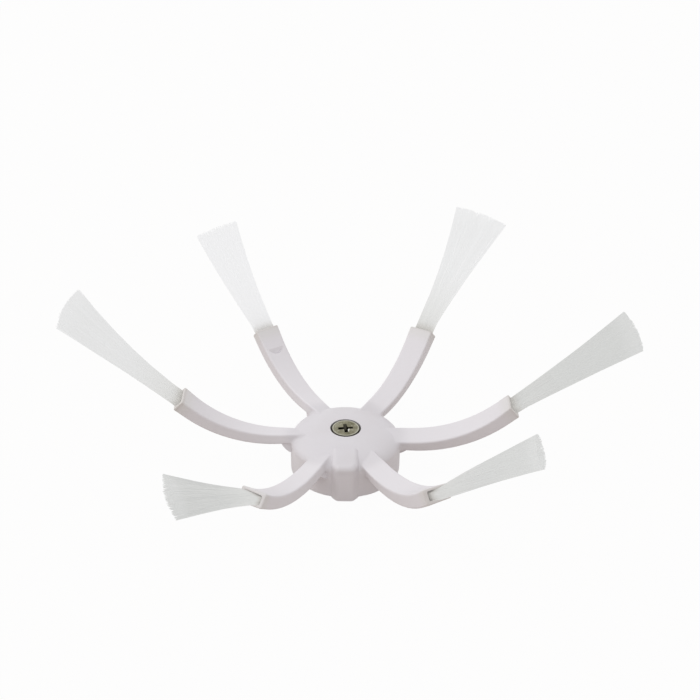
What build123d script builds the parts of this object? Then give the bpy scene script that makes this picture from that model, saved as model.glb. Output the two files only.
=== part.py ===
from build123d import *
import os
from math import cos, radians, sin, sqrt
from typing import NamedTuple

# Side brush of a robot vacuum: a domed hub with six curled arms moulded in one piece, a bristle tuft
# anchored in the end of each arm, and a captive countersunk screw in the middle.
# Millimetres, +Z up. The origin is on the hub's axis, in the plane of the skirt's rim that it stands on.

# Hub
HUB_RADIUS = 14.4
SKIRT_HEIGHT = 8.0
DOME_RISE = 4.1
SKIRT_WALL = 1.8
POCKET_DEPTH = 7.0
RIM_ROUND = 0.35
BOSS_RADIUS = 6.2
BOSS_SETBACK = 0.6
RIB_THICKNESS = 1.2
RIB_SETBACK = 2.0
DRIVE_SQUARE = 6.5
DRIVE_CORNER = 0.6

# Lug that stands out of the skirt in the gap before the 300 degree arm
LUG_AZIMUTH = 274.0
LUG_BASE_WIDTH = 7.0
LUG_FACE_WIDTH = 4.2
LUG_REACH = 1.3
LUG_DEPTH = 5.7
LUG_FACE_RISE = 2.3
LUG_START_DROP = 0.45
LUG_ROUND = 1.5
LUG_TOP_ROUND = 1.4

# Arms: a level run out of the dome, an upward curl and a short straight end, with a twist that dies out.
# The heel is the extra depth of the side that faces clockwise.
ARM_ROOT_DEPTH = 5.8
ARM_LEVEL_REACH = 3.6
ARM_TOP_RISE = 2.2
ARM_CURL_RADIUS = 32.0
ARM_CURL_ANGLE = 42.0
ARM_END_LENGTH = 3.7
ARM_WIDTH_ROOT = 5.2
ARM_WIDTH_END = 6.8
ARM_THICKNESS_ROOT = 2.35
ARM_THICKNESS_END = 3.6
ARM_HEEL_ROOT = 0.75
ARM_HEEL_END = 0.3
ARM_TWIST_ROOT = 18.0
ARM_TWIST_END = -3.0
ARM_SWEEP = 5.4
ARM_EDGE_ROUND = 0.45
ARM_END_ROUND = 0.3
ARM_ROOT_ROUND = 1.0
ARM_SECTIONS = 10
GUSSET_REACH = 2.6
GUSSET_DROP = 2.8
GUSSET_INSET = 0.5

# Half-moon mark in the top face of one arm, measured back from the arm's end
MARK_AZIMUTH = 120
MARK_SETBACK = 6.2
MARK_RADIUS = 2.45
MARK_LENGTH = 1.65
MARK_TILT = 26.0

# Slot in the end of each arm, the tuft in it and the anchor across the tuft's fold
SLOT_WIDTH = 5.2
SLOT_HEIGHT = 2.4
SLOT_DEPTH = 5.8
SLOT_CORNER = 0.5
TUFT_CLEARANCE = 0.1
TUFT_MID_SHARE = 0.38
TUFT_ROUNDNESS = 0.48
ANCHOR_DEPTH = 4.4
ANCHOR_LENGTH = 1.4
ANCHOR_THICKNESS = 0.4
ANCHOR_CLEARANCE = 0.05


class ArmSet(NamedTuple):
    """How one arm and its bundle of bristle have set. Angles in degrees."""

    arm_swing: float
    arm_lift: float
    tuft_swing: float
    tuft_rise: float
    tuft_length: float
    tip_width: float
    tip_height: float
    tip_roll: float


ARM_SETS = {
    0: ArmSet(0.0, 0.0, -2.6, 39.4, 36.7, 11.6, 4.9, 42.0),
    60: ArmSet(0.0, 0.0, -9.1, 43.9, 37.5, 16.5, 5.1, 2.4),
    120: ArmSet(2.8, 0.5, -0.5, 36.2, 33.6, 12.8, 5.2, -3.8),
    180: ArmSet(0.0, 1.7, -2.7, 42.7, 36.9, 11.7, 3.7, -39.2),
    240: ArmSet(0.0, -2.2, -0.5, 36.0, 35.0, 10.3, 2.4, -48.8),
    300: ArmSet(0.0, 0.0, 16.6, 43.6, 35.7, 7.6, 3.9, 71.7),
}

# Screw with a countersunk head, a thin neck that keeps it captive and a short threaded end
SCREW_HEAD_RADIUS = 3.75
SCREW_HEAD_LAND = 0.3
SCREW_NECK_RADIUS = 1.6
SCREW_THREAD_RADIUS = 2.0
SCREW_THREAD_LENGTH = 2.9
SCREW_LENGTH = 8.0
SCREW_TIP_CHAMFER = 0.3
SCREW_SINK = 0.4
SCREW_SEAT_GAP = 0.05
SCREW_RIM_GAP = 0.3
SCREW_NECK_GAP = 0.2
CROSS_SPAN = 4.3
CROSS_SLOT = 1.0
CROSS_DEPTH = 1.5
CROSS_FLOOR_SPAN = 1.7
CROSS_FLOOR_SLOT = 0.7

HUB_TOP = SKIRT_HEIGHT + DOME_RISE
SCREW_TOP = HUB_TOP - SCREW_SINK
LUG_START_RADIUS = HUB_RADIUS - LUG_DEPTH
ARM_START_RADIUS = HUB_RADIUS - ARM_ROOT_DEPTH
ARM_TOP_HEIGHT = SKIRT_HEIGHT + ARM_TOP_RISE
ARM_RUN = ARM_ROOT_DEPTH + ARM_LEVEL_REACH
ARM_CURL = ARM_CURL_RADIUS * radians(ARM_CURL_ANGLE)
ARM_LENGTH = ARM_RUN + ARM_CURL + ARM_END_LENGTH


def blend(root, end, share):
    """Value part of the way along an arm."""
    return root + (end - root) * share


def arm_plane(share):
    """Section plane of the arm on +X: X across the arm, Y out of its top face, Z along it."""
    travel = ARM_LENGTH * share
    curl = min(max(travel - ARM_RUN, 0.0), ARM_CURL) / ARM_CURL_RADIUS
    along = Vector(cos(curl), 0, sin(curl))
    bend = Vector(sin(curl), 0, 1 - cos(curl)) * ARM_CURL_RADIUS
    start = Vector(ARM_START_RADIUS + min(travel, ARM_RUN), 0, ARM_TOP_HEIGHT)
    top = start + bend + along * max(travel - ARM_RUN - ARM_CURL, 0.0)
    twist = radians(blend(ARM_TWIST_ROOT, ARM_TWIST_END, share))
    up = Vector(-sin(curl), 0, cos(curl))
    across = Vector(0, 1, 0) * cos(twist) + up * sin(twist)
    down = along.cross(across) * -1
    thickness = blend(ARM_THICKNESS_ROOT, ARM_THICKNESS_END, share)
    return Plane(origin=top + down * (thickness / 2), x_dir=across, z_dir=along)


def at_arm(shape, azimuth):
    """Give a shape made for the arm on +X its arm's sweep and set, then turn it round to that arm."""
    root = (ARM_START_RADIUS, 0, ARM_TOP_HEIGHT)
    arm = ARM_SETS[azimuth]
    shape = shape.rotate(Axis(root, (0, -1, 0)), arm.arm_lift)
    return shape.rotate(Axis(root, (0, 0, 1)), ARM_SWEEP + arm.arm_swing).rotate(Axis.Z, azimuth)


def hub_cap():
    """Solid domed cap with a straight skirt."""
    with BuildPart() as cap:
        with BuildSketch(Plane.XZ):
            with BuildLine():
                Line((0, 0), (HUB_RADIUS, 0))
                Line((HUB_RADIUS, 0), (HUB_RADIUS, SKIRT_HEIGHT))
                EllipticalCenterArc(
                    (0, SKIRT_HEIGHT), HUB_RADIUS, DOME_RISE, start_angle=0, arc_size=90
                )
                Line((0, HUB_TOP), (0, 0))
            make_face()
        revolve(axis=Axis.Z)
        fillet(cap.edges().filter_by(GeomType.CIRCLE).group_by(Axis.Z)[0], RIM_ROUND)
    return cap.part


def hub_pocket():
    """Hollow under the cap, round the boss in the middle, which stands back from the rim."""
    hollow = Circle(HUB_RADIUS - SKIRT_WALL)
    boss = Circle(BOSS_RADIUS)
    return extrude(hollow - boss, POCKET_DEPTH) + extrude(boss, BOSS_SETBACK)


def hub_ribs():
    """Webs between the boss and the skirt, one under each arm."""
    length = HUB_RADIUS - SKIRT_WALL / 2
    rib = Pos(length / 2, 0, RIB_SETBACK) * Box(
        length,
        RIB_THICKNESS,
        POCKET_DEPTH - RIB_SETBACK + RIB_THICKNESS,
        align=(Align.CENTER, Align.CENTER, Align.MIN),
    )
    return [rib.rotate(Axis.Z, azimuth) for azimuth in ARM_SETS]


def lug():
    """Upright block on the skirt whose sloping top runs back into the dome."""
    face = HUB_RADIUS + LUG_REACH
    base = sqrt(HUB_RADIUS**2 - (LUG_BASE_WIDTH / 2) ** 2)
    plan = Polyline(
        (LUG_START_RADIUS, -LUG_BASE_WIDTH / 2),
        (base, -LUG_BASE_WIDTH / 2),
        (face, -LUG_FACE_WIDTH / 2),
        (face, LUG_FACE_WIDTH / 2),
        (base, LUG_BASE_WIDTH / 2),
        (LUG_START_RADIUS, LUG_BASE_WIDTH / 2),
        close=True,
    )
    side = Polyline(
        (LUG_START_RADIUS, 0),
        (face, 0),
        (face, SKIRT_HEIGHT + LUG_FACE_RISE),
        (LUG_START_RADIUS, HUB_TOP - LUG_START_DROP),
        close=True,
    )
    block = extrude(make_face(plan), HUB_TOP)
    block &= extrude(Plane.XZ * make_face(side), LUG_BASE_WIDTH, both=True)
    upright = block.edges().filter_by(Axis.Z).sort_by(Axis.X)[2:]
    block = fillet(upright, LUG_ROUND)
    top = block.faces().sort_by(Axis.Z)[-1]
    return fillet(top.edges().sort_by(Axis.X)[1:], LUG_TOP_ROUND).rotate(Axis.Z, LUG_AZIMUTH)


def arm_section(share):
    """Outline across the arm: flat on top, with a sloping underside that is deepest at the heel."""
    side = blend(ARM_WIDTH_ROOT, ARM_WIDTH_END, share) / 2
    top = blend(ARM_THICKNESS_ROOT, ARM_THICKNESS_END, share) / 2
    heel = blend(ARM_HEEL_ROOT, ARM_HEEL_END, share)
    outline = Polyline((side, top), (-side, top), (-side, -top - heel), (side, -top), close=True)
    return arm_plane(share) * fillet(make_face(outline).vertices(), ARM_EDGE_ROUND)


def arm_body():
    """Twisted and curled arm, thickening towards the end that holds the tuft."""
    arm = loft([arm_section(step / (ARM_SECTIONS - 1)) for step in range(ARM_SECTIONS)])
    end = arm.faces().sort_by_distance(arm_plane(1.0).origin)[0]
    return fillet(end.edges(), ARM_END_ROUND)


def arm_gusset():
    """Hollow-cornered web that carries the arm's underside down onto the skirt."""
    under = -ARM_THICKNESS_ROOT
    wall = HUB_RADIUS - SKIRT_WALL / 2
    tip = HUB_RADIUS + GUSSET_REACH
    outline = (
        Line((wall, under / 2), (tip, under / 2))
        + Line((tip, under / 2), (tip, under))
        + RadiusArc((tip, under), (HUB_RADIUS, under - GUSSET_DROP), GUSSET_REACH + GUSSET_DROP)
        + Line((HUB_RADIUS, under - GUSSET_DROP), (wall, under - GUSSET_DROP))
        + Line((wall, under - GUSSET_DROP), (wall, under / 2))
    )
    web = extrude(Plane.XZ * make_face(outline), ARM_WIDTH_ROOT / 2 - GUSSET_INSET, both=True)
    twist = Axis((0, 0, 0), (1, 0, 0))
    return Pos(0, 0, ARM_TOP_HEIGHT) * web.rotate(twist, ARM_TWIST_ROOT)


def pin_mark():
    """Tilted disc that leaves the half-moon, deepest towards the hub."""
    share = 1 - MARK_SETBACK / ARM_LENGTH
    section = arm_plane(share)
    rise = blend(ARM_THICKNESS_ROOT, ARM_THICKNESS_END, share) / 2
    face = Plane(section.origin + section.y_dir * rise, section.x_dir, section.y_dir)
    disc = Cylinder(MARK_RADIUS, MARK_RADIUS, align=(Align.CENTER, Align.CENTER, Align.MIN))
    return face * Rot(-MARK_TILT, 0, 0) * Pos(0, MARK_LENGTH - MARK_RADIUS, 0) * disc


def arm_slot():
    """Pocket in the arm's end for the root of the tuft."""
    return extrude(
        arm_plane(1.0) * RectangleRounded(SLOT_WIDTH, SLOT_HEIGHT, SLOT_CORNER), -SLOT_DEPTH
    )


def screw_seat():
    """Countersunk way through the hub: a rim round the head, the cone under it and the neck's hole."""
    gap = SCREW_SEAT_GAP
    head = SCREW_HEAD_RADIUS
    neck = SCREW_NECK_RADIUS + SCREW_NECK_GAP
    cone_top = SCREW_TOP - SCREW_HEAD_LAND - gap
    profile = Polyline(
        (0, 0),
        (neck, 0),
        (neck, cone_top - (head - neck)),
        (head, cone_top),
        (head + SCREW_RIM_GAP, cone_top),
        (head + SCREW_RIM_GAP, HUB_TOP + 1),
        (0, HUB_TOP + 1),
        close=True,
    )
    return revolve(Plane.XZ * make_face(profile), Axis.Z)


def drive_socket():
    """Square socket in the boss that takes the machine's drive shaft."""
    return extrude(RectangleRounded(DRIVE_SQUARE, DRIVE_SQUARE, DRIVE_CORNER), POCKET_DEPTH)


def with_arms(body):
    """Join the six arms to the hub, each with a round where it leaves the dome and the skirt."""
    for azimuth in ARM_SETS:
        arm = at_arm(arm_body(), azimuth)
        joined = body + arm
        body = fillet(new_edges(body, arm, combined=joined), ARM_ROOT_ROUND)
    return body


def arm_spider():
    """The one-piece moulding: hub, arms, lug, gussets and ribs, less its seat and sockets."""
    body = with_arms(hub_cap()) + lug() - hub_pocket() + hub_ribs()
    body += [at_arm(arm_gusset(), azimuth) for azimuth in ARM_SETS]
    body -= [at_arm(arm_slot(), azimuth) for azimuth in ARM_SETS]
    return body - at_arm(pin_mark(), MARK_AZIMUTH) - screw_seat() - drive_socket()


def anchor(grow=0.0):
    """Flat metal strip across the slot that holds the tuft's fold."""
    strip = Box(SLOT_WIDTH, ANCHOR_THICKNESS + 2 * grow, ANCHOR_LENGTH + 2 * grow)
    return arm_plane(1.0) * Pos(0, 0, -ANCHOR_DEPTH) * strip


def tuft_section(plane, width, height, roll=0.0):
    """Rounded outline of the bundle on a plane across it, turned by its roll."""
    outline = RectangleRounded(width, height, TUFT_ROUNDNESS * min(width, height))
    return plane * Rot(0, 0, roll) * outline


def tuft(arm):
    """Plain outer form of one bundle: its root in the slot and the flare to the cut tips."""
    root = arm_plane(1.0)
    width = SLOT_WIDTH - 2 * TUFT_CLEARANCE
    height = SLOT_HEIGHT - 2 * TUFT_CLEARANCE
    level = cos(radians(arm.tuft_rise))
    heading = Vector(
        level * cos(radians(arm.tuft_swing)),
        level * sin(radians(arm.tuft_swing)),
        sin(radians(arm.tuft_rise)),
    )
    middle = Plane(root.origin + heading * (arm.tuft_length / 2), root.x_dir, heading)
    tip = Plane(root.origin + heading * arm.tuft_length, root.x_dir, heading)
    flare = loft(
        [
            tuft_section(root, width, height),
            tuft_section(
                middle,
                blend(width, arm.tip_width, TUFT_MID_SHARE),
                blend(height, arm.tip_height, TUFT_MID_SHARE),
                arm.tip_roll / 2,
            ),
            tuft_section(tip, arm.tip_width, arm.tip_height, arm.tip_roll),
        ]
    )
    plug = extrude(tuft_section(root, width, height), -(SLOT_DEPTH - TUFT_CLEARANCE))
    return flare + plug - anchor(ANCHOR_CLEARANCE)


def cross_recess():
    """Tapered cross that takes the screwdriver."""
    mouth = Pos(0, 0, SCREW_TOP) * Rectangle(CROSS_SPAN, CROSS_SLOT)
    floor = Pos(0, 0, SCREW_TOP - CROSS_DEPTH) * Rectangle(CROSS_FLOOR_SPAN, CROSS_FLOOR_SLOT)
    wing = loft([floor, mouth])
    return wing + wing.rotate(Axis.Z, 90)


def hub_screw():
    """Countersunk screw, its thread left as a plain cylinder."""
    head = SCREW_HEAD_RADIUS
    neck = SCREW_NECK_RADIUS
    thread = SCREW_THREAD_RADIUS
    land = SCREW_TOP - SCREW_HEAD_LAND
    tip = SCREW_TOP - SCREW_LENGTH
    shoulder = tip + SCREW_THREAD_LENGTH
    profile = Polyline(
        (0, tip),
        (thread - SCREW_TIP_CHAMFER, tip),
        (thread, tip + SCREW_TIP_CHAMFER),
        (thread, shoulder),
        (neck, shoulder + thread - neck),
        (neck, land - (head - neck)),
        (head, land),
        (head, SCREW_TOP),
        (0, SCREW_TOP),
        close=True,
    )
    return revolve(Plane.XZ * make_face(profile), Axis.Z) - cross_recess()


def build():
    """Every piece by name."""
    pieces = {"arm_spider": arm_spider(), "hub_screw": hub_screw()}
    for azimuth, arm in ARM_SETS.items():
        pieces[f"tuft_{azimuth}"] = at_arm(tuft(arm), azimuth)
        pieces[f"anchor_{azimuth}"] = at_arm(anchor(), azimuth)
    return pieces


os.makedirs("parts", exist_ok=True)
for name, piece in build().items():
    export_step(piece, f"parts/{name}.step")
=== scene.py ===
"""Looks of a robot vacuum side brush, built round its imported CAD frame."""

import random
from math import cos, exp, pi, radians, sin
from typing import NamedTuple

import bpy
from bpy.props import FloatProperty, FloatVectorProperty, IntProperty, PointerProperty
from mathutils import Matrix, Vector


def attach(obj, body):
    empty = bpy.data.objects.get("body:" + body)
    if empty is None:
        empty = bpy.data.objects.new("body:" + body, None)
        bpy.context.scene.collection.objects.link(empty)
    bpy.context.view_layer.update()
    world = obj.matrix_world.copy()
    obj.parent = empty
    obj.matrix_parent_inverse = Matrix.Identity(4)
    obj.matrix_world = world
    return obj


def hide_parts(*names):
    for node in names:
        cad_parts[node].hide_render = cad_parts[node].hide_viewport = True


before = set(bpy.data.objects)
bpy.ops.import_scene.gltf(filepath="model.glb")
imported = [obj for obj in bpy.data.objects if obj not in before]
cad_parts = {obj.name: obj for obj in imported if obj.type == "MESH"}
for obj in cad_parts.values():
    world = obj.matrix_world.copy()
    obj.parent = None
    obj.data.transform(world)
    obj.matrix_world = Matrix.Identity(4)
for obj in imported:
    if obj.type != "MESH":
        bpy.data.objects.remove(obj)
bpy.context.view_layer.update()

bl_info = {
    "name": "Side brush looks",
    "version": (1, 0, 0),
    "blender": (4, 5, 0),
    "location": "View3D > Sidebar > Side brush",
    "description": "Moulding finish, bristle tufts, hub screw and studio stage of a side brush",
    "category": "Object",
}

MM = 0.001
BODY = "root"
WHITE = (1, 1, 1, 1)

# Arm ends, in millimetres and degrees, as the CAD frame has them
ARM_START_RADIUS = 8.6
ARM_FLAT_RADIUS = 18.0
ARM_TOP_HEIGHT = 10.2
ARM_CURL_RADIUS = 32.0
ARM_CURL_ANGLE = 42.0
ARM_END_LENGTH = 3.7
ARM_THICKNESS_END = 3.6
ARM_TWIST_END = -3.0
ARM_SWEEP = 5.4

# Mouth of the slot in each arm's end, which the bristle fills, and how far in the bristle is modelled
SLOT_WIDTH = 5.04
SLOT_HEIGHT = 2.24
SLOT_DEPTH = 3.0

# Run over which a bundle that leaves its slot turns from the arm's line to its own
SLOT_LEAD = 1.5

# Share of a bundle's free length over which its flat side turns from the arm's line to its own
FLAT_TURN = 0.25

# Seed of the random draws, to which a bundle's angle is added
SEED = 1000

# Power that makes a bundle's section a rounded square
SQUARENESS = 8

# Width of a filament's cut end beside the rest of it
CUT_END = 0.8

# Share of a filament's length, before and after a ring, over which its direction is read
RING_REACH = 0.02

# Least share of the gathering that a tip takes part in, and the turns in a filament's wave
LEAST_GATHERING = 0.5
WAVE_TURNS = (0.6, 1.4)

# Share of a filament's tone that is its own and not its bundle's, whose share is painted shade
OWN_TONE = 0.1

# Angles above which an edge stays sharp, in degrees
BRISTLE_CREASE = 60
SCREW_CREASE = 35

# Height at which the painted shade in the screw's seat begins, in millimetres
SEAT_SHADE_START = 9.0

# Screw: sides of its round parts, steps in a turn of its thread and pitch of its turning marks
SCREW_SIDES = 64
PIT_SIDES = 24
THREAD_STEPS = 28
MARK_PITCH = 0.16 * MM

# Screw's tip: its radius beside the neck's, and the height of its chamfer
TIP_SHARE = 0.8
TIP_CHAMFER = 0.25 * MM

# Screw's head: width and height of its chamfer, and the inner ring of its flat top beside its radius
HEAD_CHAMFER_WIDTH = 0.2 * MM
HEAD_CHAMFER_HEIGHT = 0.25 * MM
HEAD_FLAT = 0.8

# Width of the rounding along the screw's sharp edges
EDGE_ROUND = 0.05 * MM

# Wings of the cross: their floors beside their mouths, how much shallower the second pair is cut, and
# how far each cutter stands proud of the head
WING_FLOOR = (0.42, 0.72, 1)
WING_STEP = 0.03
WING_PROUD = (0.2 * MM, 0.28 * MM)

# Pit of the cross: its point's radius, its drop below the wings, its waist below the head's top, how far
# the cutter stands proud, and its radii at the waist and the top beside a wing's width
PIT_POINT = 0.05 * MM
PIT_DROP = 0.35 * MM
PIT_WAIST = 0.2 * MM
PIT_PROUD = 0.35 * MM
PIT_WAIST_SHARE = 0.8
PIT_TOP_SHARE = 0.9

# Thread's ridge: its foot beside the neck's radius, its width and its distance from both ends in pitches
RIDGE_FOOT = 0.97
RIDGE_WIDTH = 0.96
RIDGE_MARGIN = 0.55

# Painted glints beside the screw's cross: middle and radius of each, in millimetres, and
# the share of the radius within which a glint is at full strength
GLINT_SPOTS = ((0.72, -0.44, 0.5), (0.72, -1.25, 0.4))
GLINT_CORE = 0.4

# Stage, in metres: side of the floor, place and side of the key light, nearest sight of the camera
FLOOR_SIDE = 6.0
KEY_PLACE = (-0.68, 0.06, 0.6)
KEY_SIDE = 0.5
NEAREST_SIGHT = 0.01

# Width of the camera's sensor in millimetres, and height in the sky at which the zenith's light is whole
SENSOR_WIDTH = 36.0
ZENITH_HEIGHT = 0.9


class ArmSet(NamedTuple):
    """How one arm and its bundle have set. Angles are in degrees and lengths in millimetres."""

    # Swing and lift of the arm itself, past those that all arms have
    arm_swing: float
    arm_lift: float
    # Where the bundle heads, in its arm's frame
    swing: float
    rise: float
    # Free length, how far the cut leans across the bundle, and how far it falls off to both edges
    length: float
    slant: float
    crown: float
    # Width, height and roll at the tip, and the powers by which the bundle flares and rolls on its way
    tip_width: float
    tip_height: float
    tip_roll: float
    flare: float
    roll_lead: float
    # How far the bundle bows to its side and out of its flat side
    bow_side: float
    bow_rise: float
    # Shares: how much further the tips stray, how dark the bundle is through painted shade, and how grey it
    # is near the slot
    loose: float
    shade: float
    root: float


# The six arms, by the angle at which each stands round the hub
ARM_SETS = {
    0: ArmSet(
        arm_swing=0.0, arm_lift=0.0, swing=-2.6, rise=39.4, length=36.95, slant=0.35, crown=0.7,
        tip_width=11.5, tip_height=4.9, tip_roll=42.0, flare=1.25, roll_lead=0.82,
        bow_side=0.08, bow_rise=-0.14, loose=0.0, shade=1.05, root=0.6,
    ),
    60: ArmSet(
        arm_swing=0.0, arm_lift=0.0, swing=-9.1, rise=43.9, length=37.5, slant=0.0, crown=0.0,
        tip_width=16.5, tip_height=5.1, tip_roll=2.4, flare=1.61, roll_lead=1.02,
        bow_side=-0.24, bow_rise=-0.03, loose=0.0, shade=0.33, root=1.0,
    ),
    120: ArmSet(
        arm_swing=2.8, arm_lift=0.5, swing=-0.5, rise=36.2, length=33.6, slant=-0.28, crown=-0.5,
        tip_width=12.8, tip_height=5.2, tip_roll=-3.8, flare=1.16, roll_lead=1.19,
        bow_side=0.45, bow_rise=-0.26, loose=0.0, shade=0.0, root=0.1,
    ),
    180: ArmSet(
        arm_swing=0.0, arm_lift=1.7, swing=-2.7, rise=42.7, length=37.6, slant=-0.75, crown=0.9,
        tip_width=11.1, tip_height=3.7, tip_roll=-39.2, flare=1.58, roll_lead=1.33,
        bow_side=0.24, bow_rise=-0.45, loose=0.06, shade=0.41, root=0.9,
    ),
    240: ArmSet(
        arm_swing=0.0, arm_lift=-2.2, swing=-0.5, rise=36.0, length=36.0, slant=0.0, crown=0.0,
        tip_width=10.3, tip_height=2.4, tip_roll=-48.8, flare=1.45, roll_lead=0.86,
        bow_side=0.18, bow_rise=0.10, loose=0.0, shade=1.03, root=0.6,
    ),
    300: ArmSet(
        arm_swing=0.0, arm_lift=0.0, swing=16.6, rise=43.6, length=36.6, slant=-0.5, crown=0.0,
        tip_width=8.1, tip_height=2.4, tip_roll=71.7, flare=1.56, roll_lead=0.48,
        bow_side=0.39, bow_rise=0.26, loose=0.0, shade=0.92, root=0.9,
    ),
}


class Wire:
    """A shader socket. Arithmetic on it adds Math nodes, and node() adds any other node."""

    def __init__(self, tree, socket=None):
        self.tree = tree
        self.socket = socket

    def node(self, kind, settings=None, inputs=None, output=0):
        made = self.tree.nodes.new(kind)
        for key, value in (settings or {}).items():
            setattr(made, key, value)
        for key, value in (inputs or {}).items():
            if isinstance(value, Wire):
                self.tree.links.new(value.socket, made.inputs[key])
            else:
                made.inputs[key].default_value = value
        return Wire(self.tree, made.outputs[output]) if made.outputs else None

    def math(self, operation, first, second=0.0):
        return self.node("ShaderNodeMath", {"operation": operation}, {0: first, 1: second})

    def mix(self, factor, first, second):
        """Blend of two colours."""
        return self.node(
            "ShaderNodeMix", {"data_type": "RGBA"}, {0: factor, 6: first, 7: second}, output=2
        )

    def step(self, low, high):
        """Smooth rise from 0 at low to 1 at high."""
        return self.node(
            "ShaderNodeMapRange",
            {"interpolation_type": "SMOOTHSTEP"},
            {"Value": self, "From Min": low, "From Max": high},
        )

    def __add__(self, other):
        return self.math("ADD", self, other)

    def __radd__(self, other):
        return self.math("ADD", other, self)

    def __sub__(self, other):
        return self.math("SUBTRACT", self, other)

    def __rsub__(self, other):
        return self.math("SUBTRACT", other, self)

    def __mul__(self, other):
        return self.math("MULTIPLY", self, other)

    def __rmul__(self, other):
        return self.math("MULTIPLY", other, self)

    def __pow__(self, other):
        return self.math("POWER", self, other)


def rgba(colour):
    return (*colour[:3], 1.0)


def new_material(name):
    """An empty node material and a wire to build it with."""
    material = bpy.data.materials.new(name)
    material.use_nodes = True
    material.node_tree.nodes.clear()
    return material, Wire(material.node_tree)


def output(wire, surface):
    wire.node("ShaderNodeOutputMaterial", None, {"Surface": surface})


def noise(wire, place, scale, detail=3.0, roughness=0.55):
    return wire.node(
        "ShaderNodeTexNoise",
        None,
        {"Vector": place, "Scale": scale, "Detail": detail, "Roughness": roughness},
    )


def bump(wire, height, strength, distance):
    return wire.node(
        "ShaderNodeBump", None, {"Height": height, "Strength": strength, "Distance": distance}
    )


def object_place(wire):
    return wire.node("ShaderNodeTexCoord", None, None, output=3)


def about_axis(wire, place):
    """The three parts of a place, and its distance from the hub's axis."""
    x, y, z = (wire.node("ShaderNodeSeparateXYZ", None, {0: place}, output=part) for part in range(3))
    return x, y, z, (x * x + y * y) ** 0.5


def fade(value, start, run):
    """Smooth rise of a value from 0 at start to 1 after a run in millimetres."""
    return value.step(start, start + run * MM)


def attribute(wire, name):
    return wire.node("ShaderNodeAttribute", {"attribute_name": name}, None, output=2)


def mix_shaders(wire, factor, first, second):
    return wire.node("ShaderNodeMixShader", None, {0: factor, 1: first, 2: second})


def painted(wire, colour, layers):
    """A colour under layers, each of them a mask, how strongly it shows and its own colour."""
    under = rgba(colour)
    for mask, strength, tint in layers:
        under = wire.mix(mask * strength, under, rgba(tint))
    return under


def moulding_material(looks):
    """White moulded plastic, mottled and with a fine skin, with painted light that makes it paler where
    thin, painted shade in the screw's seat, and darker and browner towards the slots' mouths.
    """
    material, wire = new_material("moulding")
    place = object_place(wire)
    _, _, height, radius = about_axis(wire, place)
    patches = noise(wire, place, scale=70.0).step(0.35, 0.65)
    specks = noise(wire, place, scale=1400.0, detail=2.0).step(0.4, 0.75)
    arms = fade(radius, looks.arm_start, run=4)
    skirt = 1 - fade(height, looks.skirt_top, run=2)
    # Painted shade in the gap round the screw's head, in the seat and below the seat top
    seat = (1 - fade(radius, looks.seat_radius, run=0.3)) * fade(height, SEAT_SHADE_START * MM, run=1)
    below = 1 - fade(height, looks.seat_top, run=0.15)
    curl = radians(ARM_CURL_ANGLE)
    reach = radius * cos(curl) + height * sin(curl)
    colour = painted(wire, looks.colour, (
        (patches, 0.5, looks.shade),
        (specks, 0.12, looks.shade),
        # Painted light: paler thin arms and skirt, standing in for light through thin plastic
        (wire.math("MAXIMUM", arms, skirt), 0.8, looks.thin_painted_light),
        (seat * below, 0.9, looks.seat_shade),
        (fade(reach, looks.end_tint_start, run=3.5), 0.35, looks.end_tint),
        # Darker and browner towards the slots' mouths
        (fade(reach, looks.mouth_start, run=1), 0.3, looks.mouth_brown),
    ))
    skin = noise(wire, place, scale=2600.0, detail=2.0)
    flow = noise(wire, place, scale=220.0, detail=2.0)
    surface = wire.node(
        "ShaderNodeBsdfPrincipled",
        None,
        {
            "Base Color": colour,
            "Roughness": looks.roughness + patches * 0.08 - specks * 0.04,
            "Specular IOR Level": 0.4,
            "Normal": bump(wire, skin * 0.4 + flow * 0.6, strength=0.12, distance=0.05 * MM),
        },
    )
    output(wire, surface)
    return material


def film(wire, colour):
    """Shader of one plain colour that passes light on."""
    return wire.node("ShaderNodeBsdfTranslucent", None, {"Color": rgba(colour)})


def bristle_material(looks):
    """Clear nylon: pale filaments that pass light on, each a little different, whole bundles darkened by
    painted shade, greyer near the slot and browner at its mouth.
    """
    material, wire = new_material("bristle")
    tone, along, root = (attribute(wire, name) for name in ("tone", "along", "root"))
    layers = (
        # The tone is mostly each bundle's painted shade
        (tone, 1.0, looks.shade),
        ((1 - along.step(0.0, 0.6)) * root, 1.0, looks.root_shade),
        # Darker and browner just outside the slot's mouth
        (1 - along.step(0.07, 0.15), 0.35, looks.root_brown),
        (along.step(0.86, 0.98), 0.15, looks.colour),
    )
    through = film(wire, looks.colour)
    for mask, strength, tint in layers:
        through = mix_shaders(wire, mask * strength, through, film(wire, tint))
    solid = wire.node(
        "ShaderNodeBsdfPrincipled",
        None,
        {
            "Base Color": painted(wire, looks.colour, layers),
            "Roughness": looks.roughness + tone * 0.15,
            "Specular IOR Level": 0.4,
        },
    )
    output(wire, mix_shaders(wire, looks.clearness, solid, through))
    return material


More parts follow.
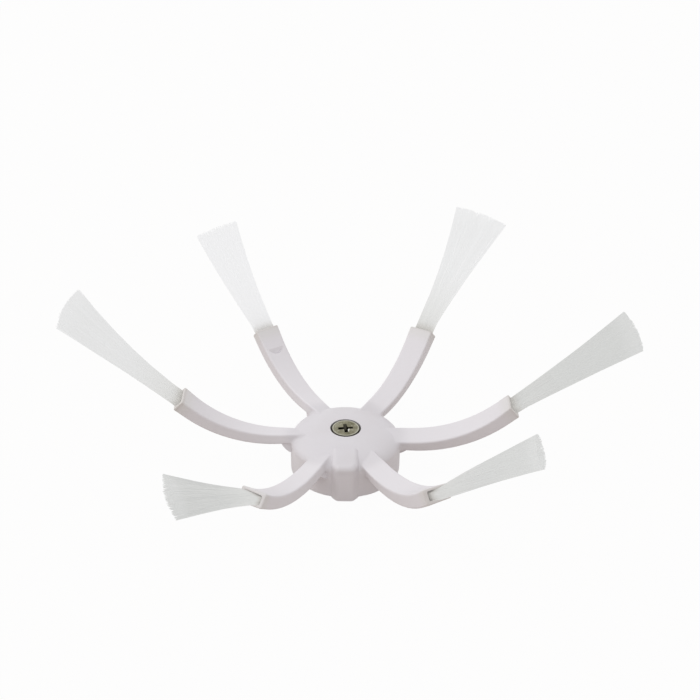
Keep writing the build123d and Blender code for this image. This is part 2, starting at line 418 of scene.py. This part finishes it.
def screw_material(looks):
    """Dull nickel plate with fine turning marks, rubbed brighter in patches, with a painted highlight round
    the head's rim, painted glints beside the cross, and painted shade and grime on the edge chamfer and
    below the top.
    """
    material, wire = new_material("screw")
    place = object_place(wire)
    away, across, height, radius = about_axis(wire, place)
    rings = wire.math("SINE", radius * (2 * pi / MARK_PITCH))
    stains = noise(wire, place, scale=650.0).step(0.38, 0.68)
    rubs = noise(wire, place, scale=2300.0).step(0.5, 0.7)
    # Painted shade on the head's edge chamfer
    edge = radius.step(looks.head_radius - 0.3 * MM, looks.head_radius - 0.2 * MM)
    # Painted highlight: a bright ring just inside the head's edge
    rim_highlight = radius.step(looks.head_radius - 0.62 * MM, looks.head_radius - 0.48 * MM) * (1 - edge)
    # Painted shade and grime below the head's top, in the cross recess
    sunk = 1 - height.step(looks.top - 0.12 * MM, looks.top - 0.03 * MM)
    # Painted glints: bright spots beside the cross
    worn = wire.math("MAXIMUM", *(
        1 - ((away - x * MM) ** 2 + (across - y * MM) ** 2).step(
            (size * GLINT_CORE * MM) ** 2, (size * MM) ** 2
        )
        for x, y, size in GLINT_SPOTS
    ))
    colour = painted(wire, looks.colour, (
        (stains, 1.0, looks.shade),
        (rubs, 0.5, looks.bright),
        (rim_highlight, 0.75, looks.bright),
        (wire.math("MAXIMUM", edge, sunk), 0.92, looks.grime_and_shade),
        (worn * (1 - edge), 1.0, looks.worn),
    ))
    surface = wire.node(
        "ShaderNodeBsdfPrincipled",
        None,
        {
            "Base Color": colour,
            "Metallic": 1.0,
            "Roughness": looks.roughness + stains * 0.14 - rubs * 0.1,
            "Normal": bump(wire, rings * 0.25 + stains * 0.5, strength=0.2, distance=0.03 * MM),
        },
    )
    output(wire, surface)
    return material


def anchor_material(looks):
    """Bright strip metal with drawn lines."""
    material, wire = new_material("anchor")
    place = object_place(wire)
    lines = noise(wire, place, scale=1800.0, detail=2.0)
    colour = wire.mix(lines, rgba(looks.colour), rgba(looks.shade))
    surface = wire.node(
        "ShaderNodeBsdfPrincipled",
        None,
        {"Base Color": colour, "Metallic": 1.0, "Roughness": 0.3 + lines * 0.2},
    )
    output(wire, surface)
    return material


def seen_share(wire):
    """1 for what the camera sees, straight, mirrored or through something clear, and 0 for lighting."""
    kinds = ("Is Camera Ray", "Is Glossy Ray", "Is Transmission Ray")
    path = [wire.node("ShaderNodeLightPath", None, None, output=kind) for kind in kinds]
    return wire.math("MINIMUM", path[0] + path[1] + path[2], 1.0)


def floor_material(looks):
    """Floor that lights the brush as a dull surface, keeps its shadow and reads as white when seen."""
    material, wire = new_material("floor")
    matt = wire.node(
        "ShaderNodeBsdfPrincipled", None, {"Base Color": rgba(looks.floor), "Roughness": 0.9}
    )
    white = wire.node("ShaderNodeEmission", None, {"Color": WHITE, "Strength": 1.0})
    output(wire, mix_shaders(wire, seen_share(wire) * looks.floor_white, matt, white))
    return material


def use_material(obj, material):
    obj.data.materials.clear()
    obj.data.materials.append(material)


def clear_selection():
    """Leave edit mode and deselect everything."""
    if bpy.context.object and bpy.context.object.mode != "OBJECT":
        bpy.ops.object.mode_set(mode="OBJECT")
    bpy.ops.object.select_all(action="DESELECT")


def make_active(obj):
    clear_selection()
    obj.select_set(True)
    bpy.context.view_layer.objects.active = obj


def turned(name, profile, sides):
    """Solid of revolution about Z: a disc that is extruded and resized from ring to ring."""
    clear_selection()
    radius, height = profile[0]
    bpy.ops.mesh.primitive_circle_add(
        vertices=sides, radius=radius, fill_type="NGON", location=(0, 0, height)
    )
    obj = bpy.context.object
    obj.name = obj.data.name = name
    bpy.ops.object.transform_apply(location=True)
    bpy.ops.object.mode_set(mode="EDIT")
    bpy.ops.mesh.select_all(action="SELECT")
    for next_radius, next_height in profile[1:]:
        bpy.ops.mesh.extrude_region_move(
            TRANSFORM_OT_translate={"value": (0, 0, next_height - height)}
        )
        share = next_radius / radius
        bpy.ops.transform.resize(value=(share, share, 1), center_override=(0, 0, next_height))
        radius, height = next_radius, next_height
    bpy.ops.mesh.select_all(action="SELECT")
    bpy.ops.mesh.normals_make_consistent(inside=False)
    bpy.ops.object.mode_set(mode="OBJECT")
    return obj


def apply_modifier(obj, kind, **settings):
    make_active(obj)
    modifier = obj.modifiers.new(kind.lower(), kind)
    for key, value in settings.items():
        setattr(modifier, key, value)
    bpy.ops.object.modifier_apply(modifier=modifier.name)


def join(objects, name):
    clear_selection()
    for obj in objects:
        obj.select_set(True)
    bpy.context.view_layer.objects.active = objects[0]
    bpy.ops.object.join()
    joined = bpy.context.object
    joined.name = joined.data.name = name
    return joined


def smooth(obj, angle):
    make_active(obj)
    bpy.ops.object.shade_smooth_by_angle(angle=radians(angle))
    clear_selection()


def finish_piece(obj, material, slot, *nodes):
    """Give a finished piece its material, hang it on the body and hide the CAD nodes that it takes the
    place of.
    """
    use_material(obj, material)
    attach(obj, BODY)
    if nodes:
        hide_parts(*nodes)


def arm_frame(azimuth):
    """Placing of an arm's own frame, in which the arm lies along +X."""
    arm = ARM_SETS[azimuth]
    root = Matrix.Translation((ARM_START_RADIUS * MM, 0, ARM_TOP_HEIGHT * MM))
    turn = Matrix.Rotation(radians(ARM_SWEEP + arm.arm_swing), 4, "Z")
    turn = turn @ Matrix.Rotation(-radians(arm.arm_lift), 4, "Y")
    return Matrix.Rotation(radians(azimuth), 4, "Z") @ root @ turn @ root.inverted()


def arm_end():
    """Middle of the arm's end face, in the arm's frame, and its directions across and along."""
    curl, twist = radians(ARM_CURL_ANGLE), radians(ARM_TWIST_END)
    along = Vector((cos(curl), 0, sin(curl)))
    up = Vector((-sin(curl), 0, cos(curl)))
    across = Vector((0, cos(twist), 0)) + up * sin(twist)
    normal = along.cross(across)
    middle = Vector((ARM_FLAT_RADIUS, 0, ARM_TOP_HEIGHT))
    middle += Vector((sin(curl), 0, 1 - cos(curl))) * ARM_CURL_RADIUS
    middle += along * ARM_END_LENGTH - normal * (ARM_THICKNESS_END / 2)
    return middle, across, along


def one_filament(looks):
    """A single straight filament along Z, one unit long, with a slightly narrowed cut end."""
    clear_selection()
    bpy.ops.mesh.primitive_circle_add(
        vertices=looks.sides, radius=1.0, fill_type="NGON", rotation=(0, 0, pi / looks.sides)
    )
    obj = bpy.context.object
    bpy.ops.object.transform_apply(rotation=True)
    bpy.ops.object.mode_set(mode="EDIT")
    bpy.ops.mesh.select_all(action="SELECT")
    for _ in range(looks.segments):
        bpy.ops.mesh.extrude_region_move(
            TRANSFORM_OT_translate={"value": (0, 0, 1.0 / looks.segments)}
        )
    bpy.ops.transform.resize(value=(CUT_END, CUT_END, 1), center_override=(0, 0, 1))
    bpy.ops.mesh.select_all(action="SELECT")
    bpy.ops.mesh.normals_make_consistent(inside=False)
    bpy.ops.object.mode_set(mode="OBJECT")
    points = [(vertex.co.x, vertex.co.y, round(vertex.co.z, 4)) for vertex in obj.data.vertices]
    faces = [tuple(face.vertices) for face in obj.data.polygons]
    bpy.data.objects.remove(obj)
    return points, faces


def rounded_spot(draw):
    """A random spot in a rounded square of half side 1."""
    while True:
        x, y = draw.uniform(-1, 1), draw.uniform(-1, 1)
        if x**SQUARENESS + y**SQUARENESS <= 1:
            return Vector((x, y))


def ease(share):
    """A share from 0 to 1 that starts and ends slowly."""
    return share * share * (3 - 2 * share)


class Filament:
    """The line that one filament of a bundle follows from the slot to its cut tip, in millimetres."""

    def __init__(self, bundle, end, locks, looks, draw):
        self.bundle = bundle
        self.middle, self.across, self.along = end
        level, rise = cos(radians(bundle.rise)), sin(radians(bundle.rise))
        swing = radians(bundle.swing)
        self.heading = Vector((level * cos(swing), level * sin(swing), rise))
        self.spot = rounded_spot(draw)
        lock, lock_length = min(locks, key=lambda other: (other[0] - self.spot).length)
        cut = bundle.slant * self.spot.x - bundle.crown * self.spot.x**2
        self.length = bundle.length + cut + lock_length + draw.gauss(0, looks.raggedness)
        self.tip_spot = self.spot.lerp(lock, looks.gathering * draw.uniform(LEAST_GATHERING, 1.0))
        self.tip_spot.y *= 1 - looks.edge_thinning * self.tip_spot.x**2
        stray = looks.stray + bundle.loose
        self.tip_spot += Vector((draw.gauss(0, stray), draw.gauss(0, looks.stray)))
        self.wave = (draw.uniform(0, 2 * pi), draw.uniform(*WAVE_TURNS), draw.gauss(0, looks.wave))

    def run(self, share):
        """Distance out of the slot at a share of the filament, which is less than 0 in the slot."""
        return share * (self.length + SLOT_DEPTH) - SLOT_DEPTH

    def square(self, lead):
        """Directions square to the way that the bundle leads: across it and out of its flat side."""
        side = (self.across - lead * self.across.dot(lead)).normalized()
        return side, lead.cross(side)

    def point(self, share):
        """Place along the filament: share 0 in the slot, 1 at the tip."""
        bundle = self.bundle
        run = self.run(share)
        if run <= 0:
            wide, high, out = SLOT_WIDTH / 2, SLOT_HEIGHT / 2, 0.0
            centre = self.middle + self.along * run
        else:
            out = run / bundle.length
            flare = out**bundle.flare
            wide = (SLOT_WIDTH + (bundle.tip_width - SLOT_WIDTH) * flare) / 2
            high = (SLOT_HEIGHT + (bundle.tip_height - SLOT_HEIGHT) * flare) / 2
            side, rise = self.square(self.heading)
            bow = (side * bundle.bow_side + rise * bundle.bow_rise) * 4 * out * (1 - out)
            lag = SLOT_LEAD * (1 - exp(-run / SLOT_LEAD) - out)
            centre = self.middle + self.heading * run + (self.along - self.heading) * lag + bow
        spot = self.spot.lerp(self.tip_spot, out)
        phase, turns, size = self.wave
        x = spot.x * wide + size * out * sin(phase + turns * 2 * pi * out)
        flat, face = self.rolled(out)
        return centre + flat * x + face * (spot.y * high)

    def rolled(self, out):
        """The bundle's directions at a share of its free length: across it and out of its flat side."""
        lead = self.along.lerp(self.heading, ease(min(out / FLAT_TURN, 1.0))).normalized()
        side, rise = self.square(lead)
        angle = radians(self.bundle.tip_roll) * out**self.bundle.roll_lead
        return side * cos(angle) + rise * sin(angle), rise * cos(angle) - side * sin(angle)

    def ring(self, share):
        """Place and cross directions of the filament's own section, whose sides face as the bundle's do."""
        ahead = self.point(min(share + RING_REACH, 1.0)) - self.point(max(share - RING_REACH, 0.0))
        outward = self.rolled(max(self.run(share), 0.0) / self.bundle.length)[1]
        side = ahead.cross(outward).normalized()
        return self.point(share), side, ahead.cross(side).normalized()


def bristle_bundle(azimuth, looks, filament):
    """Mesh of one bundle: copies of the one filament, each bent along its own line."""
    draw = random.Random(SEED + azimuth)
    bundle, end = ARM_SETS[azimuth], arm_end()
    points, faces = filament
    shares = sorted({place[2] for place in points})
    locks = [(rounded_spot(draw), draw.gauss(0, looks.lock_raggedness)) for _ in range(looks.locks)]
    placing = arm_frame(azimuth)
    radius = looks.diameter / 2
    all_points, all_faces, tones, alongs = [], [], [], []
    for _ in range(looks.count):
        line = Filament(bundle, end, locks, looks, draw)
        rings = {share: line.ring(share) for share in shares}
        # Tone: mostly the bundle's painted shade, and a little of the filament's own
        tone = (1 - OWN_TONE) * bundle.shade + OWN_TONE * draw.random()
        first = len(all_points)
        for x, y, share in points:
            here, side, rise = rings[share]
            all_points.append(placing @ (here * MM + (side * x + rise * y) * radius))
            tones.append(tone)
            alongs.append(share)
        all_faces += [tuple(first + corner for corner in face) for face in faces]
    mesh = bpy.data.meshes.new(f"bristles_{azimuth}")
    mesh.from_pydata(all_points, [], all_faces)
    roots = [bundle.root] * len(all_points)
    for name, values in (("tone", tones), ("along", alongs), ("root", roots)):
        mesh.attributes.new(name, "FLOAT", "POINT").data.foreach_set("value", values)
    obj = bpy.data.objects.new(mesh.name, mesh)
    bpy.context.scene.collection.objects.link(obj)
    return obj


def pass_light(obj):
    """Keep a clear piece from shading itself and what is near it."""
    obj.visible_shadow = False
    obj.visible_diffuse = False
    obj.visible_glossy = False
    obj.visible_transmission = False


def cut_away(obj, cutter):
    apply_modifier(obj, "BOOLEAN", operation="DIFFERENCE", solver="EXACT", object=cutter)
    bpy.data.objects.remove(cutter)


def recess_wing(looks, turn):
    """Cutter for one pair of the cross recess's wings: a block whose floor is drawn in."""
    clear_selection()
    high, low = looks.top + WING_PROUD[turn], looks.top - looks.recess_depth * (1 - WING_STEP * turn)
    bpy.ops.mesh.primitive_cube_add(size=1, location=(0, 0, (high + low) / 2))
    wing = bpy.context.object
    bpy.ops.object.mode_set(mode="EDIT")
    bpy.ops.mesh.select_all(action="SELECT")
    sizes = (looks.recess_span, looks.recess_slot, high - low)
    bpy.ops.transform.resize(value=sizes, center_override=(0, 0, (high + low) / 2))
    bpy.ops.mesh.select_all(action="DESELECT")
    bpy.ops.object.mode_set(mode="OBJECT")
    for face in wing.data.polygons:
        face.select = face.normal.z < -0.5
    bpy.ops.object.mode_set(mode="EDIT")
    bpy.ops.mesh.select_mode(type="FACE")
    bpy.ops.transform.resize(value=WING_FLOOR, center_override=(0, 0, low))
    bpy.ops.object.mode_set(mode="OBJECT")
    wing.rotation_euler.z = looks.recess_turn + turn * pi / 2
    bpy.ops.object.transform_apply(location=True, rotation=True, scale=True)
    return wing


def recess_pit(looks):
    """Cutter for the pointed middle of the cross recess."""
    return turned("pit", [
        (PIT_POINT, looks.top - looks.recess_depth - PIT_DROP),
        (looks.recess_slot * PIT_WAIST_SHARE, looks.top - PIT_WAIST),
        (looks.recess_slot * PIT_TOP_SHARE, looks.top + PIT_PROUD),
    ], PIT_SIDES)


def thread_ridge(looks):
    """Helical ridge: a triangle beside the core, swept round it by a screw modifier."""
    clear_selection()
    core, pitch = looks.neck_radius * RIDGE_FOOT, looks.thread_pitch
    proud = looks.thread_radius - core
    low = looks.top - looks.length + RIDGE_MARGIN * pitch
    # A triangle of radius 1 is 1.5 high, and each of its sides is the root of 3
    bpy.ops.mesh.primitive_circle_add(
        vertices=3, radius=1, fill_type="NOTHING",
        location=(core + proud / 3, 0, low), rotation=(pi / 2, pi / 2, 0),
    )
    ridge = bpy.context.object
    bpy.ops.object.transform_apply(location=False, rotation=True, scale=False)
    ridge.scale = (proud / 1.5, 1, RIDGE_WIDTH * pitch / 3**0.5)
    bpy.ops.object.transform_apply(location=True, rotation=True, scale=True)
    turns = (looks.thread_length - 2 * RIDGE_MARGIN * pitch) / pitch
    steps = int(THREAD_STEPS * turns)
    apply_modifier(ridge, "SCREW", angle=2 * pi * turns, screw_offset=pitch * turns,
                   steps=steps, render_steps=steps, axis="Z")
    make_active(ridge)
    bpy.ops.object.mode_set(mode="EDIT")
    bpy.ops.mesh.select_all(action="DESELECT")
    bpy.ops.mesh.select_mode(type="EDGE")
    bpy.ops.mesh.select_non_manifold()
    bpy.ops.mesh.fill()
    bpy.ops.mesh.select_all(action="SELECT")
    bpy.ops.mesh.normals_make_consistent(inside=False)
    bpy.ops.object.mode_set(mode="OBJECT")
    return ridge


class MouldingLooks(bpy.types.PropertyGroup):
    """Finish of the white moulding."""

    colour: FloatVectorProperty(
        name="Colour", description="Main colour of the plastic", subtype="COLOR", size=3,
        default=(0.70, 0.68, 0.70), min=0, max=1)
    shade: FloatVectorProperty(
        name="Shade", description="Colour of the faint darker patches", subtype="COLOR", size=3,
        default=(0.65, 0.622, 0.63), min=0, max=1)
    # Painted light: paler colour of the thin arms and skirt, standing in for light through thin plastic
    thin_painted_light: FloatVectorProperty(
        name="Thin colour", description="Paler colour of the thin arms and skirt", subtype="COLOR", size=3,
        default=(0.775, 0.752, 0.768), min=0, max=1)
    skirt_top: FloatProperty(
        name="Skirt top", description="Height below which the thin skirt pales", unit="LENGTH",
        default=7.5 * MM, min=0)
    # Painted shade: dark colour of the gap round the screw's head
    seat_shade: FloatVectorProperty(
        name="Seat dirt", description="Colour of the dirt in the screw's seat", subtype="COLOR", size=3,
        default=(0.11, 0.10, 0.085), min=0, max=1)
    seat_radius: FloatProperty(
        name="Seat radius", description="Radius of the screw's seat", unit="LENGTH",
        default=3.95 * MM, min=0)
    # Top of the painted shade in the seat
    seat_top: FloatProperty(
        name="Seat top", description="Height that the dirt in the seat comes up to", unit="LENGTH",
        default=11.5 * MM, min=0)
    arm_start: FloatProperty(
        name="Arm start", description="Radius at which the plastic begins to pale", unit="LENGTH",
        default=13.5 * MM, min=0)
    end_tint: FloatVectorProperty(
        name="End tint", description="Colour that the arms' ends lean towards", subtype="COLOR", size=3,
        default=(0.65, 0.645, 0.585), min=0, max=1)
    end_tint_start: FloatProperty(
        name="End tint start", description="Reach along the curl at which the end tint begins",
        unit="LENGTH", default=41.0 * MM, min=0)
    # Darker, browner colour round the slots' mouths
    mouth_brown: FloatVectorProperty(
        name="Mouth dirt", description="Colour of the dirt round the slots' mouths", subtype="COLOR",
        size=3, default=(0.47, 0.42, 0.36), min=0, max=1)
    mouth_start: FloatProperty(
        name="Mouth start", description="Reach along the curl at which the mouth dirt begins",
        unit="LENGTH", default=44.5 * MM, min=0)
    roughness: FloatProperty(
        name="Roughness", description="Roughness of the moulded skin", subtype="FACTOR",
        default=0.42, min=0, max=1)


class BristleLooks(bpy.types.PropertyGroup):
    """Filaments of the tufts."""

    count: IntProperty(name="Filaments", description="Filaments in a bundle", default=700, min=1)
    sides: IntProperty(name="Sides", description="Sides of a filament", default=4, min=3)
    segments: IntProperty(
        name="Segments", description="Lengths that a filament is bent in", default=6, min=1)
    locks: IntProperty(name="Locks", description="Locks that the tips gather into", default=40, min=1)
    diameter: FloatProperty(
        name="Diameter", description="Thickness of a filament over its corners", unit="LENGTH",
        default=0.13 * MM, min=0)
    raggedness: FloatProperty(
        name="Raggedness", description="How far cut lengths differ in a lock, in millimetres",
        default=0.04, min=0)
    lock_raggedness: FloatProperty(
        name="Lock raggedness", description="How far the locks' lengths differ, in millimetres",
        default=0.07, min=0)
    gathering: FloatProperty(
        name="Gathering", description="How far tips lean towards their lock", subtype="FACTOR",
        default=0.1, min=0, max=1)
    edge_thinning: FloatProperty(
        name="Edge thinning", description="How far a bundle's tip thins towards its edges",
        subtype="FACTOR", default=0.85, min=0, max=1)
    stray: FloatProperty(
        name="Stray", description="How far tips wander, as a share of the tip's half width",
        default=0.01, min=0)
    wave: FloatProperty(
        name="Wave", description="Size of a filament's wave in millimetres", default=0.06, min=0)
    colour: FloatVectorProperty(
        name="Colour", description="Colour of the palest filaments", subtype="COLOR", size=3,
        default=(0.98, 0.985, 0.995), min=0, max=1)
    # Used as the painted shade that darkens whole bundles
    shade: FloatVectorProperty(
        name="Shade", description="Colour of the darkest filaments", subtype="COLOR", size=3,
        default=(0.70, 0.712, 0.70), min=0, max=1)
    root_shade: FloatVectorProperty(
        name="Root shade", description="Colour near the slot", subtype="COLOR", size=3,
        default=(0.80, 0.806, 0.79), min=0, max=1)
    # Darker, browner colour just outside the slot's mouth
    root_brown: FloatVectorProperty(
        name="Root dirt", description="Colour of the dirt at the slot's mouth", subtype="COLOR", size=3,
        default=(0.56, 0.52, 0.45), min=0, max=1)
    clearness: FloatProperty(
        name="Clearness", description="Share of the light that a filament passes on", subtype="FACTOR",
        default=0.8, min=0, max=1)
    roughness: FloatProperty(
        name="Roughness", description="Roughness of a filament", subtype="FACTOR",
        default=0.35, min=0, max=1)


class ScrewLooks(bpy.types.PropertyGroup):
    """Sizes and finish of the hub screw."""

    top: FloatProperty(
        name="Top", description="Height of the head's top", unit="LENGTH", default=11.93 * MM)
    length: FloatProperty(
        name="Length", description="Length over all", unit="LENGTH", default=8.23 * MM, min=0)
    head_radius: FloatProperty(
        name="Head radius", description="Radius of the countersunk head", unit="LENGTH",
        default=3.75 * MM, min=0)
    head_land: FloatProperty(
        name="Head land", description="Height of the head's straight edge", unit="LENGTH",
        default=0.53 * MM, min=0)
    neck_radius: FloatProperty(
        name="Neck radius", description="Radius of the neck", unit="LENGTH", default=1.6 * MM, min=0)
    thread_radius: FloatProperty(
        name="Thread radius", description="Radius over the thread", unit="LENGTH", default=2.0 * MM, min=0)
    thread_length: FloatProperty(
        name="Thread length", description="Length of the threaded end", unit="LENGTH",
        default=2.9 * MM, min=0)
    thread_pitch: FloatProperty(
        name="Thread pitch", description="Rise of the thread in one turn", unit="LENGTH",
        default=0.7 * MM, min=0)
    recess_span: FloatProperty(
        name="Recess span", description="Width over the cross", unit="LENGTH", default=4.3 * MM, min=0)
    recess_slot: FloatProperty(
        name="Recess slot", description="Width of a wing of the cross", unit="LENGTH",
        default=1.0 * MM, min=0)
    recess_depth: FloatProperty(
        name="Recess depth", description="Depth of the cross", unit="LENGTH", default=1.5 * MM, min=0)
    recess_turn: FloatProperty(
        name="Recess turn", description="How far the cross is turned", subtype="ANGLE",
        default=radians(12.0))
    colour: FloatVectorProperty(
        name="Colour", description="Main colour of the plate", subtype="COLOR", size=3,
        default=(0.265, 0.25, 0.178), min=0, max=1)
    shade: FloatVectorProperty(
        name="Shade", description="Colour of the stains", subtype="COLOR", size=3,
        default=(0.165, 0.155, 0.10), min=0, max=1)
    # Also the colour of the painted highlight round the head's rim
    bright: FloatVectorProperty(
        name="Bright", description="Colour of the rubbed patches", subtype="COLOR", size=3,
        default=(0.52, 0.51, 0.43), min=0, max=1)
    # Painted glints: colour of the bright spots beside the cross
    worn: FloatVectorProperty(
        name="Worn", description="Colour of the spots worn bright beside the cross", subtype="COLOR",
        size=3, default=(0.86, 0.85, 0.79), min=0, max=1)
    # Painted shade and grime: colour of the head's edge chamfer and of all below its top
    grime_and_shade: FloatVectorProperty(
        name="Grime", description="Colour of the dirt below the head's top", subtype="COLOR", size=3,
        default=(0.035, 0.032, 0.026), min=0, max=1)
    roughness: FloatProperty(
        name="Roughness", description="Roughness of the plate", subtype="FACTOR",
        default=0.34, min=0, max=1)


class AnchorLooks(bpy.types.PropertyGroup):
    """Finish of the metal anchors."""

    colour: FloatVectorProperty(
        name="Colour", description="Main colour of the strip", subtype="COLOR", size=3,
        default=(0.62, 0.62, 0.61), min=0, max=1)
    shade: FloatVectorProperty(
        name="Shade", description="Colour of the drawn lines", subtype="COLOR", size=3,
        default=(0.42, 0.42, 0.41), min=0, max=1)


class StageLooks(bpy.types.PropertyGroup):
    """Floor, light and camera."""

    floor: FloatVectorProperty(
        name="Floor", description="Colour of the floor as a light on the brush", subtype="COLOR", size=3,
        default=(0.53, 0.465, 0.43), min=0, max=1)
    floor_white: FloatProperty(
        name="Floor white", description="Share of plain white in the floor as it is seen", subtype="FACTOR",
        default=0.965, min=0, max=1)
    zenith: FloatVectorProperty(
        name="Zenith", description="Colour of the light from above", subtype="COLOR", size=3,
        default=(0.91, 0.91, 0.93), min=0, max=1)
    horizon: FloatVectorProperty(
        name="Horizon", description="Colour of the light from all round", subtype="COLOR", size=3,
        default=(0.70, 0.67, 0.66), min=0, max=1)
    key: FloatProperty(name="Key", description="Power of the key light", unit="POWER", default=1.75, min=0)
    azimuth: FloatProperty(
        name="Camera azimuth", description="Direction of the camera, round from +X", subtype="ANGLE",
        default=radians(274.003))
    elevation: FloatProperty(
        name="Camera elevation", description="Height of the camera above the level", subtype="ANGLE",
        default=radians(31.281))
    roll: FloatProperty(
        name="Camera roll", description="Turn of the camera about its own axis", subtype="ANGLE",
        default=radians(0.76))
    distance: FloatProperty(
        name="Camera distance", description="Distance to the point looked at", unit="LENGTH",
        default=337.585 * MM, min=0)
    target: FloatVectorProperty(
        name="Camera target", description="Point looked at", subtype="XYZ", size=3, unit="LENGTH",
        default=(0.0, 12.48 * MM, 28.236 * MM))
    lens: FloatProperty(name="Lens", description="Focal length in millimetres", default=65.91, min=1)


class SIDEBRUSH_OT_moulding(bpy.types.Operator):
    """Finish the one-piece moulding of hub and arms"""

    bl_idname = "sidebrush.moulding"
    bl_label = "Finish moulding"

    def execute(self, context):
        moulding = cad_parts["arm_spider"]
        use_material(moulding, moulding_material(context.scene.sidebrush_moulding))
        return {"FINISHED"}


class SIDEBRUSH_OT_bristles(bpy.types.Operator):
    """Build the bristle tuft in each arm's end"""

    bl_idname = "sidebrush.bristles"
    bl_label = "Build bristles"

    def execute(self, context):
        looks = context.scene.sidebrush_bristle
        material = bristle_material(looks)
        filament = one_filament(looks)
        for azimuth in ARM_SETS:
            bundle = bristle_bundle(azimuth, looks, filament)
            smooth(bundle, BRISTLE_CREASE)
            pass_light(bundle)
            finish_piece(bundle, material, "bristle", f"tuft_{azimuth}")
        return {"FINISHED"}


class SIDEBRUSH_OT_screw(bpy.types.Operator):
    """Build the countersunk screw with its cross recess and thread"""

    bl_idname = "sidebrush.screw"
    bl_label = "Build screw"

    def execute(self, context):
        looks = context.scene.sidebrush_screw
        tip, neck, head = looks.top - looks.length, looks.neck_radius, looks.head_radius
        land = looks.top - looks.head_land
        shank = turned("screw", [
            (neck * TIP_SHARE, tip),
            (neck, tip + TIP_CHAMFER),
            (neck, land - (head - neck)),
            (head, land),
            (head, looks.top - HEAD_CHAMFER_HEIGHT),
            (head - HEAD_CHAMFER_WIDTH, looks.top),
            (head * HEAD_FLAT, looks.top),
        ], SCREW_SIDES)
        for turn in range(2):
            cut_away(shank, recess_wing(looks, turn))
        cut_away(shank, recess_pit(looks))
        apply_modifier(shank, "BEVEL", width=EDGE_ROUND, segments=2, limit_method="ANGLE",
                       angle_limit=radians(SCREW_CREASE))
        screw = join([shank, thread_ridge(looks)], "screw")
        smooth(screw, SCREW_CREASE)
        finish_piece(screw, screw_material(looks), "screw", "hub_screw")
        return {"FINISHED"}


class SIDEBRUSH_OT_anchors(bpy.types.Operator):
    """Finish the metal anchors in the slots"""

    bl_idname = "sidebrush.anchors"
    bl_label = "Finish anchors"

    def execute(self, context):
        material = anchor_material(context.scene.sidebrush_anchor)
        for azimuth in ARM_SETS:
            use_material(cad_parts[f"anchor_{azimuth}"], material)
        return {"FINISHED"}


class SIDEBRUSH_OT_stage(bpy.types.Operator):
    """Set up the white floor, the soft light and the camera"""

    bl_idname = "sidebrush.stage"
    bl_label = "Set stage"

    def execute(self, context):
        looks = context.scene.sidebrush_stage
        scene = context.scene
        scene.view_settings.view_transform = "Standard"
        clear_selection()
        bpy.ops.mesh.primitive_plane_add(size=FLOOR_SIDE)
        floor = context.object
        floor.name = floor.data.name = "floor"
        use_material(floor, floor_material(looks))
        self.set_world(scene, looks)
        self.add_key_light(context, looks)
        self.add_camera(scene, looks)
        return {"FINISHED"}

    def set_world(self, scene, looks):
        world = bpy.data.worlds.new("studio")
        world.use_nodes = True
        world.node_tree.nodes.clear()
        wire = Wire(world.node_tree)
        towards = wire.node("ShaderNodeTexCoord", None, None, output=0)
        height = wire.node("ShaderNodeSeparateXYZ", None, {0: towards}, output=2)
        light = wire.mix(height.step(0.0, ZENITH_HEIGHT), rgba(looks.horizon), rgba(looks.zenith))
        colour = wire.mix(seen_share(wire), light, WHITE)
        sky = wire.node("ShaderNodeBackground", None, {"Color": colour, "Strength": 1.0})
        wire.node("ShaderNodeOutputWorld", None, {"Surface": sky})
        scene.world = world

    def add_key_light(self, context, looks):
        clear_selection()
        bpy.ops.object.light_add(type="AREA", location=KEY_PLACE)
        lamp = context.object
        lamp.name = lamp.data.name = "key"
        lamp.data.energy = looks.key
        lamp.data.size = KEY_SIDE
        lamp.rotation_euler = (-Vector(KEY_PLACE)).to_track_quat("-Z", "Y").to_euler()

    def add_camera(self, scene, looks):
        clear_selection()
        level = cos(looks.elevation)
        back = Vector((level * cos(looks.azimuth), level * sin(looks.azimuth), sin(looks.elevation)))
        turn = (-back).to_track_quat("-Z", "Y").to_matrix() @ Matrix.Rotation(looks.roll, 3, "Z")
        bpy.ops.object.camera_add(
            location=Vector(looks.target) + back * looks.distance, rotation=turn.to_euler()
        )
        camera = bpy.context.object
        camera.data.lens = looks.lens
        camera.data.sensor_width = SENSOR_WIDTH
        camera.data.clip_start = NEAREST_SIGHT
        scene.camera = camera


class SIDEBRUSH_PT_panel(bpy.types.Panel):
    """Lists the steps that build the side brush"""

    bl_label = "Side brush"
    bl_idname = "SIDEBRUSH_PT_panel"
    bl_space_type = "VIEW_3D"
    bl_region_type = "UI"
    bl_category = "Side brush"

    def draw(self, context):
        for operator in OPERATORS:
            self.layout.operator(operator.bl_idname)


OPERATORS = (
    SIDEBRUSH_OT_moulding,
    SIDEBRUSH_OT_bristles,
    SIDEBRUSH_OT_screw,
    SIDEBRUSH_OT_anchors,
    SIDEBRUSH_OT_stage,
)
LOOKS = {
    "sidebrush_moulding": MouldingLooks,
    "sidebrush_bristle": BristleLooks,
    "sidebrush_screw": ScrewLooks,
    "sidebrush_anchor": AnchorLooks,
    "sidebrush_stage": StageLooks,
}


def register():
    for looks in LOOKS.values():
        bpy.utils.register_class(looks)
    for name, looks in LOOKS.items():
        setattr(bpy.types.Scene, name, PointerProperty(type=looks))
    for operator in OPERATORS:
        bpy.utils.register_class(operator)
    bpy.utils.register_class(SIDEBRUSH_PT_panel)


def unregister():
    bpy.utils.unregister_class(SIDEBRUSH_PT_panel)
    for operator in reversed(OPERATORS):
        bpy.utils.unregister_class(operator)
    for name in LOOKS:
        delattr(bpy.types.Scene, name)
    for looks in LOOKS.values():
        bpy.utils.unregister_class(looks)


def main():
    register()
    bpy.ops.sidebrush.moulding()
    bpy.ops.sidebrush.bristles()
    bpy.ops.sidebrush.screw()
    bpy.ops.sidebrush.anchors()
    bpy.ops.sidebrush.stage()


if __name__ == "__main__":
    main()
